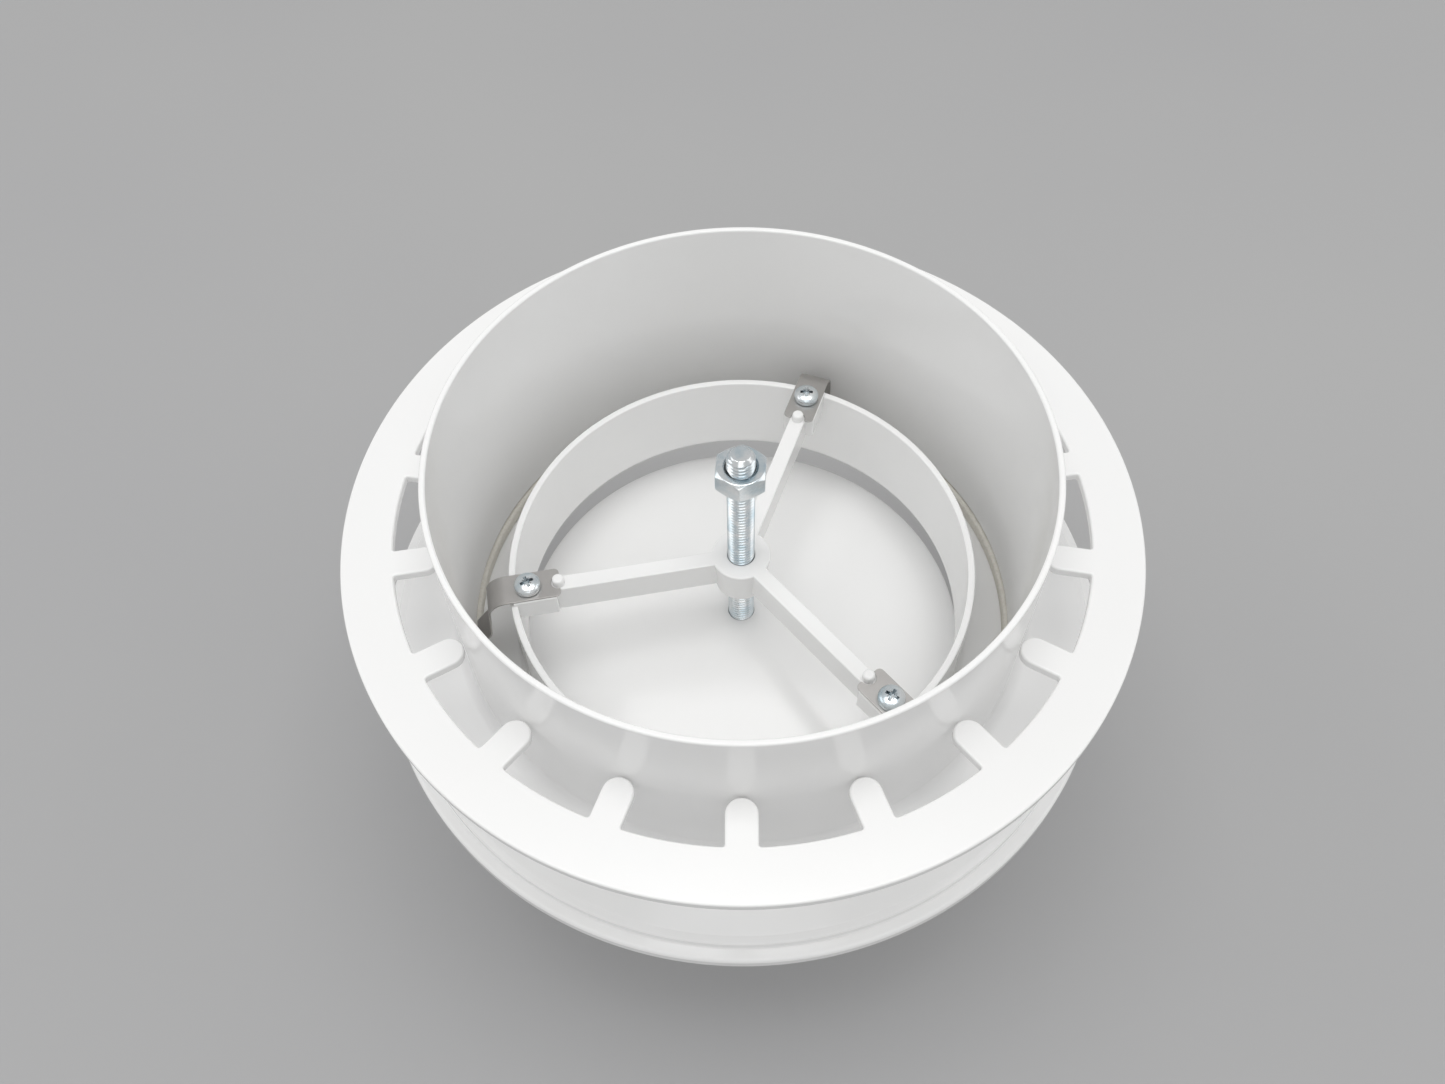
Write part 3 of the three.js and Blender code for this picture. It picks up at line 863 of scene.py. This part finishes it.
# %% The side view that the strip follows
def strip_route():
    """Points of (radius, height) from the start of the bend to the tip."""
    centre = Vector((CLIP_BEND_R, CLIP_Z - CLIP_BEND))
    route = []
    for k in range(21):
        angle = math.pi / 2 + (CLIP_LEAN - math.pi / 2) * k / 20
        route.append(centre + Vector((math.cos(angle), math.sin(angle))) * CLIP_BEND)
    foot = Vector((route[-1].x + (route[-1].y - CLIP_FOOT) * math.tan(CLIP_LEAN), CLIP_FOOT))
    bends = [(*route[-1], 0), (*foot, 3.0), (*CLIP_KNEE, 1.6), (*CLIP_TIP, 0)]
    leg = [Vector(p) for p in rounded(bends, 8)]
    return route + leg[1:]


# %% Plan outline of half the flat
def arc(x, y, radius, first, last, steps):
    """Points on an arc, angles in degrees."""
    angles = [math.radians(first + (last - first) * k / steps) for k in range(steps + 1)]
    return [(x + radius * math.cos(a), y + radius * math.sin(a)) for a in angles]


def flat_half():
    """Half of the clip's flat for positive widths, as (radius, width) points."""
    return [
        *arc(NOTCH_AT, 0, NOTCH_HALF, 0, 90, 10),
        *arc(CLIP_END + 0.25, NOTCH_HALF + 0.25, 0.25, 270, 180, 3),
        *arc(CLIP_END + TAB_CORNER, CLIP_HALF - TAB_CORNER, TAB_CORNER, 180, 90, 8),
        (CLIP_BEND_R, CLIP_HALF), (CLIP_BEND_R, 0),
        *arc(SCREW_AT, 0, SCREW_HOLE_R, 0, 180, 16)]


# %% Build the clip
def add_map(piece, along):
    """Stores how far along and across the strip each corner lies, in centimetres."""
    strip = piece.data.uv_layers.new(name=STRIP_MAP)
    for loop in piece.data.loops:
        place = piece.data.vertices[loop.vertex_index].co / MM
        key = (round(place.x, 3), round(place.z, 3))
        strip.data[loop.index].uv = (along.get(key, place.x) / 10, place.y / 10)


def clip_piece():
    vertices, faces = [], []
    route = strip_route()
    along, run = {}, CLIP_BEND_R
    for before, here in zip(route, route[1:]):
        run += (here - before).length
        along[(round(here.x, 3), round(here.y, 3))] = run
    for side in (1, -1):
        start = len(vertices)
        plan = flat_half()
        vertices += [(r, side * w, CLIP_Z) for r, w in plan]
        faces.append(tuple(range(start, len(vertices)))[::side])
        start = len(vertices)
        for p in route:
            vertices += [(p.x, 0, p.y), (p.x, side * CLIP_HALF, p.y)]
        for i in range(len(route) - 1):
            a = start + 2 * i
            faces.append((a, a + 2, a + 3, a + 1)[::side])
    piece = new_piece("spring_clips", vertices, faces)
    add_map(piece, along)
    wall = piece.modifiers.new("wall", "SOLIDIFY")
    wall.thickness = CLIP_THICKNESS * MM
    wall.offset = 0
    wall.use_even_offset = True
    add_bevel(piece, STRIP_EDGE, 2).angle_limit = math.radians(50)
    return settle(piece)


clips = round_the_arms(clip_piece(), "stainless_spring")
hand_over(shade(clips, math.radians(50)), "stainless_spring", "valve",
          *[f"spring_clip_{i + 1}" for i in range(ARMS)])

# %% [markdown]
# ## Threads
#
# A thread is a rule: the radius falls and rises with height, and the whole pattern climbs by one
# pitch in a turn. The tree starts from a flat grid, wraps it round the axis with each column a
# little higher than the last, and so its rows run along the thread's crest instead of crossing it.
# Rows past either end are drawn in to the axis, which makes the flat ends and their chamfers.


# %% Helpers for the thread tree
def clamp(tree, value, low, high):
    return calc(tree, "MINIMUM", calc(tree, "MAXIMUM", value, low), high)


def wrap_position(tree, mesh, radius, angle, height):
    """Moves a mesh's points to a radius, an angle and a height."""
    place = tree.nodes.new("ShaderNodeCombineXYZ")
    tree.links.new(calc(tree, "MULTIPLY", radius, calc(tree, "COSINE", angle)), place.inputs[0])
    tree.links.new(calc(tree, "MULTIPLY", radius, calc(tree, "SINE", angle)), place.inputs[1])
    tree.links.new(height, place.inputs[2])
    move = tree.nodes.new("GeometryNodeSetPosition")
    tree.links.new(mesh, move.inputs["Geometry"])
    tree.links.new(place.outputs[0], move.inputs["Position"])
    return move.outputs["Geometry"]


def thread_radius(tree, outer, depth, phase):
    """Radius of a thread from its phase: a narrow crest, straight flanks and a wider root."""
    from_crest = calc(tree, "ABSOLUTE", calc(tree, "MULTIPLY_ADD", calc(tree, "FRACT", phase), 2.0, -1.0))
    dip = calc(tree, "DIVIDE", calc(tree, "SUBTRACT", from_crest, 0.125), 0.625)
    return calc(tree, "SUBTRACT", outer, calc(tree, "MULTIPLY", depth, clamp(tree, dip, 0.0, 1.0)))


# %% The thread tree
ROWS_PER_PITCH = 8


def thread_tree():
    labels = ("Outer", "Depth", "Pitch", "Foot", "Top", "Chamfer")
    numbers = [(label, "NodeSocketFloat") for label in labels]
    counts = [("Columns", "NodeSocketInt"), ("Rows", "NodeSocketInt")]
    tree, given, end = new_tree("thread", [*numbers, *counts, ("Material", "NodeSocketMaterial")])
    outer, depth, pitch, foot, top, chamfer = [given.outputs[label] for label in labels]
    grid = tree.nodes.new("GeometryNodeMeshGrid")
    tree.links.new(calc(tree, "ADD", given.outputs["Columns"], 1), grid.inputs["Vertices X"])
    tree.links.new(calc(tree, "ADD", given.outputs["Rows"], 1), grid.inputs["Vertices Y"])
    where = tree.nodes.new("GeometryNodeInputPosition")
    parts = tree.nodes.new("ShaderNodeSeparateXYZ")
    tree.links.new(where.outputs[0], parts.inputs[0])
    turn = calc(tree, "ADD", parts.outputs["X"], 0.5)
    row = calc(tree, "MULTIPLY", calc(tree, "ADD", parts.outputs["Y"], 0.5), given.outputs["Rows"])
    start = calc(tree, "SUBTRACT", calc(tree, "SUBTRACT", foot, outer), pitch)
    phase = calc(tree, "DIVIDE", row, ROWS_PER_PITCH)
    height = calc(tree, "MULTIPLY_ADD", calc(tree, "ADD", phase, turn), pitch, start)
    inside = clamp(tree, height, foot, top)
    past = calc(tree, "ABSOLUTE", calc(tree, "SUBTRACT", height, inside))
    below_top = calc(tree, "SUBTRACT", top, inside)
    above_foot = calc(tree, "SUBTRACT", inside, foot)
    end_gap = calc(tree, "MINIMUM", below_top, above_foot)
    cone = calc(tree, "ADD", calc(tree, "SUBTRACT", outer, chamfer), end_gap)
    ridge = calc(tree, "MINIMUM", thread_radius(tree, outer, depth, phase), cone)
    radius = calc(tree, "MAXIMUM", calc(tree, "SUBTRACT", ridge, past), 0.0)
    angle = calc(tree, "MULTIPLY", turn, 2 * math.pi)
    wrapped = wrap_position(tree, grid.outputs["Mesh"], radius, angle, inside)
    close_tree(tree, wrapped, given, end, MERGE * 2)
    return tree


thread = thread_tree()
print("thread has", len(thread.nodes), "nodes")


# %% Cut a threaded rod
def threaded_rod(name, outer, depth, pitch, foot, top, chamfer, columns):
    """A rod with a thread, sizes in millimetres, closed at both ends."""
    rod = new_piece(name, [(0, 0, 0), (1, 0, 0), (0, 1, 0)], [(0, 1, 2)])
    rows = math.ceil(((top - foot + 2 * outer) / pitch + 2) * ROWS_PER_PITCH)
    sizes = {"Outer": outer, "Depth": depth, "Pitch": pitch, "Foot": foot, "Top": top, "Chamfer": chamfer}
    return run_tree(rod, thread, Columns=columns, Rows=rows, Material=FINISHES["zinc_steel"],
                    **{label: value * MM for label, value in sizes.items()})


# %% [markdown]
# ## Spindle
#
# The spindle is M6 threaded rod with rolled crests and cut, chamfered ends. Its thread depth is
# 0.61 of the pitch. It stands in the disc's nut and goes up through the hub.

# %% Make the spindle
SPINDLE_R = radius_of("spindle")
SPINDLE_FOOT = foot_of("spindle")
PITCH = 1.0
THREAD_DEPTH = 0.61 * PITCH
END_CHAMFER = 1.0
spindle_rod = threaded_rod("threaded_spindle", SPINDLE_R, THREAD_DEPTH, PITCH, SPINDLE_FOOT,
                           SPINDLE_TOP, END_CHAMFER, 48)
hand_over(shade(spindle_rod, math.radians(38)), "zinc_steel", "spindle", "spindle")

# %% [markdown]
# ## Nuts
#
# A hexagon nut is a six-sided bar cut by a shallow cone at each end, which leaves the curved edge
# that every nut shows above its flats. A boolean would find that edge only roughly. Here it is
# worked out: for each direction, the flat gives the radius and the cone gives the height there.

# %% Sizes of the M6 nut
NUT_FLATS = 10.0
NUT_HEIGHT = 5.0
NUT_BORE = 3.05
SINK = 0.55
CHAMFER_SLOPE = math.tan(math.radians(30))
STEPS_PER_FLAT = 16
NUT_EDGE = 0.09


# %% Make a nut
def nut_column(angle):
    """Outline of the nut in one direction, from bore to bore, as (radius, height)."""
    off_flat = (angle + math.pi / 6) % (math.pi / 3) - math.pi / 6
    side = NUT_FLATS / 2 / math.cos(off_flat)
    cone_r = NUT_FLATS / 2 * 0.96
    drop = (side - cone_r) * CHAMFER_SLOPE
    middle = (side + cone_r) / 2
    half = [(NUT_BORE, SINK), (NUT_BORE + SINK, 0), (cone_r, 0), (middle, drop / 2), (side, drop)]
    upper = [(r, NUT_HEIGHT - z) for r, z in reversed(half)]
    return half + upper


def nut_piece(name, z, turn):
    count = 6 * STEPS_PER_FLAT
    vertices = []
    for i in range(count):
        angle = 2 * math.pi * i / count
        column = nut_column(angle - math.pi / 6)
        c, s = math.cos(angle + turn), math.sin(angle + turn)
        vertices += [(r * c, r * s, z + h) for r, h in column]
    piece = new_piece(name, vertices, ring_faces(count, len(nut_column(0))))
    add_bevel(piece, NUT_EDGE, 2).angle_limit = math.radians(25)
    return shade(settle(piece), math.radians(24))


LOCK_NUT_TURN = math.radians(-94)
lock_nut = nut_piece("hex_lock_nut", foot_of("lock_nut"), LOCK_NUT_TURN)
hand_over(lock_nut, "zinc_steel", "lock_nut", "lock_nut")
captive_nut = nut_piece("captive_disc_nut", foot_of("disc_nut"), 0.0)
hand_over(captive_nut, "zinc_steel", "disc", "disc_nut")

# %% [markdown]
# ## Clip screws
#
# Small pan-head screws with a cross recess hold the clips. The head is turned, the recess is cut
# with two tapered blades and four shallow ticks between them, and the shank gets its coarse
# thread from the same tree as the spindle.

# %% Sizes of the screw
SCREW_SEAT = ARM_TOP + 0.5
HEAD_R = 2.85
HEAD_HEIGHT = 2.1
SHANK_R = 1.45
SHANK_LENGTH = 5.6
BLADE_WIDTH = 0.75
BLADE_SPAN = 3.2
BLADE_DEPTH = 1.3
RECESS_TURN = 0.3
TICK_WIDTH = 0.16
TICK_DEPTH = 0.28
SHANK_DEPTH = 0.35
SHANK_PITCH = 0.9


# %% Head and recess
def pan_head():
    top = SCREW_SEAT + HEAD_HEIGHT
    dome = [(HEAD_R * math.sin(a), SCREW_SEAT + 0.95 + (HEAD_HEIGHT - 0.95) * math.cos(a))
            for a in [math.pi / 2 * (1 - k / 14) for k in range(14)]]
    edge = rounded([(0, SCREW_SEAT, 0), (HEAD_R, SCREW_SEAT, 0.2), (HEAD_R, SCREW_SEAT + 0.9, 0),
                    (0, SCREW_SEAT + 0.9, 0)], 4)
    return turned("clip_screws", [*edge[:-1], *dome[1:], (0, top)], 72)


def blade(turn, width, span, depth):
    """A cutter, narrower at its foot, across the head's top."""
    top = SCREW_SEAT + HEAD_HEIGHT
    foot = top - depth
    corners = []
    for z, taper in ((foot, 0.55), (top + 0.4, 1.12)):
        x, y = span / 2 * taper, width / 2 * (0.7 + 0.3 * taper)
        corners += [(-x, -y, z), (x, -y, z), (-x, y, z), (x, y, z)]
    cutter = new_piece("blade", corners, BOX_FACES)
    cutter.data.transform(Matrix.Rotation(turn, 4, "Z"))
    return cutter


# %% Assemble one screw and repeat it
def screw_piece():
    screw = pan_head()
    shank = threaded_rod("shank", SHANK_R, SHANK_DEPTH, SHANK_PITCH, SCREW_SEAT - SHANK_LENGTH,
                         SCREW_SEAT + 0.5, 0.5, 32)
    combine(screw, shank, "UNION")
    eighth = math.pi / 4
    for k in range(2):
        slot = blade(eighth * 2 * k + RECESS_TURN, BLADE_WIDTH, BLADE_SPAN, BLADE_DEPTH)
        combine(screw, slot, "DIFFERENCE")
        tick = blade(eighth * (2 * k + 1) + RECESS_TURN, TICK_WIDTH, BLADE_SPAN * 1.02, TICK_DEPTH)
        combine(screw, tick, "DIFFERENCE")
    screw.data.transform(Matrix.Translation((SCREW_AT * MM, 0, 0)))
    return screw


screws = round_the_arms(screw_piece(), "zinc_steel")
hand_over(shade(screws, math.radians(30)), "zinc_steel", "valve",
          *[f"clip_screw_{i + 1}" for i in range(ARMS)])

# %% [markdown]
# ## Disc
#
# Air turns outwards over a shallow dome. The disc is two mouldings: the domed shell above, whose
# boss holds the nut, and a room-side face that snaps on below and closes the hollow. Both are
# turned. A dome is part of a sphere, so its height at any radius follows from its rise.

# %% Sizes of the disc
DISC_R = radius_of("disc_shell")
DISC_APEX = top_of("disc_shell")
DISC_RISE = 7.65
DISC_WALL = 1.8
DISC_BORE = 3.05
DISC_BOSS_R = 8.0
POCKET_CLEARANCE = 0.35
DISC_BOSS_FOOT = foot_of("disc_shell")
RIM_FOOT = -12.5
FACE_TOP = RIM_FOOT - 0.15
FACE_FOOT = foot_of("disc_face")
FACE_RISE = 1.7
FACE_WALL = 1.7
UPSTAND_R = 49.3
UPSTAND = 0.75


# %% A dome's outline
def dome(first, last, apex, rise, steps):
    """Points of (radius, height, no corner) on a dome; a negative rise hangs down."""
    ball = (DISC_R ** 2 + rise ** 2) / (2 * abs(rise))
    points = []
    for k in range(steps + 1):
        r = first + (last - first) * k / steps
        fall = ball - math.sqrt(ball ** 2 - r ** 2)
        points.append((r, apex - math.copysign(fall, rise), 0))
    return points


# %% Shell
def shell_outline():
    rim = DISC_APEX - DISC_RISE
    under = DISC_APEX - DISC_WALL
    return rounded([
        *dome(DISC_BORE, DISC_R - 1.2, DISC_APEX, DISC_RISE, 36),
        (DISC_R, rim, 0.8),
        (DISC_R, RIM_FOOT, 0.3),
        (DISC_R - 1.8, RIM_FOOT, 0.3),
        *dome(DISC_R - 1.8, DISC_BOSS_R, under, DISC_RISE, 24),
        (DISC_BOSS_R, DISC_BOSS_FOOT, 0.4),
        (DISC_BORE, DISC_BOSS_FOOT, 0.2),
    ], steps=6)


def nut_pocket():
    across = (NUT_FLATS + POCKET_CLEARANCE) / math.sqrt(3)
    corners = [(across * math.cos(k * math.pi / 3), across * math.sin(k * math.pi / 3)) for k in range(6)]
    low, high = DISC_BOSS_FOOT - 1, foot_of("disc_nut") + NUT_HEIGHT + 0.2
    vertices = [(x, y, low) for x, y in corners] + [(x, y, high) for x, y in corners]
    sides = [(k, (k + 1) % 6, (k + 1) % 6 + 6, k + 6) for k in range(6)]
    return new_piece("pocket", vertices, [(5, 4, 3, 2, 1, 0), (6, 7, 8, 9, 10, 11), *sides])


shell = turned("disc_dome_shell", shell_outline(), 240)
combine(shell, nut_pocket(), "DIFFERENCE")
hand_over(shade(shell), "white_abs", "disc", "disc_shell")


# %% Room-side face
def face_outline():
    edge = FACE_FOOT + FACE_RISE
    return rounded([
        (0, FACE_FOOT, 0),
        *dome(DISC_R / 16, DISC_R - 1.5, FACE_FOOT, -FACE_RISE, 24),
        (DISC_R, edge, 0.7),
        (DISC_R, FACE_TOP, 0.3),
        (UPSTAND_R, FACE_TOP, 0.15),
        (UPSTAND_R, FACE_TOP + UPSTAND, 0.2),
        (UPSTAND_R - 1.4, FACE_TOP + UPSTAND, 0.2),
        *dome(UPSTAND_R - 1.4, DISC_R / 16, FACE_FOOT + FACE_WALL, -FACE_RISE, 20),
        (0, FACE_FOOT + FACE_WALL, 0),
    ], steps=5)


room_face = shade(turned("disc_room_face", face_outline(), 240))
hand_over(room_face, "white_abs", "disc", "disc_face")

# %% [markdown]
# ## Floor and light
#
# The floor is plain and pale, and lies far enough below for the disc and the insert to be lowered
# without meeting it. Its material is clear from below, so that the underside can be looked at too.
# Soft lights overhead, at both sides and weakly in front give the even tops and the slow shading
# of the walls, and a pale world fills the inside of the spigot.

# %% Floor
FLOOR_Z = -0.066
FLOOR_HALF = 4.0


def floor_finish():
    material, tree, shader, place = new_finish("studio_floor")
    tint = use(tree, slow_tint, place, Colour=(0.44, 0.44, 0.44, 1), Drift_Colour=(0.42, 0.42, 0.425, 1),
               Scale=3.0)
    tree.links.new(tint.outputs[0], shader.inputs["Base Color"])
    shader.inputs["Roughness"].default_value = 0.85
    side = tree.nodes.new("ShaderNodeNewGeometry")
    clear = tree.nodes.new("ShaderNodeBsdfTransparent")
    choose = tree.nodes.new("ShaderNodeMixShader")
    tree.links.new(side.outputs["Backfacing"], choose.inputs[0])
    tree.links.new(shader.outputs[0], choose.inputs[1])
    tree.links.new(clear.outputs[0], choose.inputs[2])
    tree.links.new(choose.outputs[0], tree.nodes["Material Output"].inputs["Surface"])
    return material


floor_mesh = bpy.data.meshes.new("floor")
floor_mesh.from_pydata([(x * FLOOR_HALF, y * FLOOR_HALF, FLOOR_Z) for x, y in
                        ((-1, -1), (1, -1), (1, 1), (-1, 1))], [], [(0, 1, 2, 3)])
floor = bpy.data.objects.new("floor", floor_mesh)
floor.data.materials.append(floor_finish())
bpy.context.scene.collection.objects.link(floor)
floor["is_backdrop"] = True
print("floor at", FLOOR_Z, "m")


# %% Lights
def soft_light(name, place, aim, width, height, power):
    """A rectangular area light at a place in metres, turned towards a point."""
    lamp = bpy.data.lights.new(name, "AREA")
    lamp.shape = "RECTANGLE"
    lamp.size = width
    lamp.size_y = height
    lamp.energy = power
    light = bpy.data.objects.new(name, lamp)
    bpy.context.scene.collection.objects.link(light)
    light.location = place
    light.rotation_euler = (Vector(aim) - Vector(place)).to_track_quat("-Z", "Y").to_euler()
    return light


soft_light("overhead_softbox", (0.0, 0.0, 1.3), (0, 0, 0), 1.1, 0.6, 6)
soft_light("front_softbox", (0.0, -0.8, 0.9), (0, 0, 0.02), 0.7, 0.5, 1.0)
soft_light("left_softbox", (-1.1, 0.1, 0.8), (0, 0, 0), 0.8, 0.8, 1.8)
soft_light("right_softbox", (1.1, 0.1, 0.8), (0, 0, 0), 0.8, 0.8, 1.5)
world = bpy.data.worlds.new("studio")
world.use_nodes = True
world.node_tree.nodes["Background"].inputs["Color"].default_value = (1, 1, 1, 1)
world.node_tree.nodes["Background"].inputs["Strength"].default_value = 0.57
bpy.context.scene.world = world
bpy.context.scene.view_settings.view_transform = "Standard"

# %% [markdown]
# ## Camera
#
# The camera looks down into the spigot from the front. Its distance is set by the spigot's inner
# radius, so it would follow if the object were another size, and it is rolled by a degree and a
# half, as a hand-held camera is.

# %% Place the camera
CAMERA_LENS = 31.14
CAMERA_ELEVATION = math.radians(52.25)
CAMERA_DISTANCE = 3.985
CAMERA_ROLL = math.radians(-1.435)
AIM = Vector((-4.1, 3.8, 20.25)) * MM

camera_data = bpy.data.cameras.new("camera")
camera_data.lens = CAMERA_LENS
camera_data.clip_start = 0.01
camera = bpy.data.objects.new("camera", camera_data)
bpy.context.scene.collection.objects.link(camera)
reach = CAMERA_DISTANCE * (SPIGOT_R - SPIGOT_WALL) * MM
camera.location = (0, -reach * math.cos(CAMERA_ELEVATION), RIM_Z * MM + reach * math.sin(CAMERA_ELEVATION))
facing = (AIM - camera.location).to_track_quat("-Z", "Y").to_matrix()
camera.rotation_euler = (facing @ Matrix.Rotation(CAMERA_ROLL, 3, "Z")).to_euler()
bpy.context.scene.camera = camera
print("camera at", [round(v, 4) for v in camera.location])

# %% [markdown]
#
# How far the top corner of what is seen passes the model's box is printed.

# %% Print how far the seen box passes the model's
seen_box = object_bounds()
past = [round((b - a) / MM, 2) for a, b in zip(cad_box[1], seen_box[1])]
print("visual box is larger by", past, "mm")
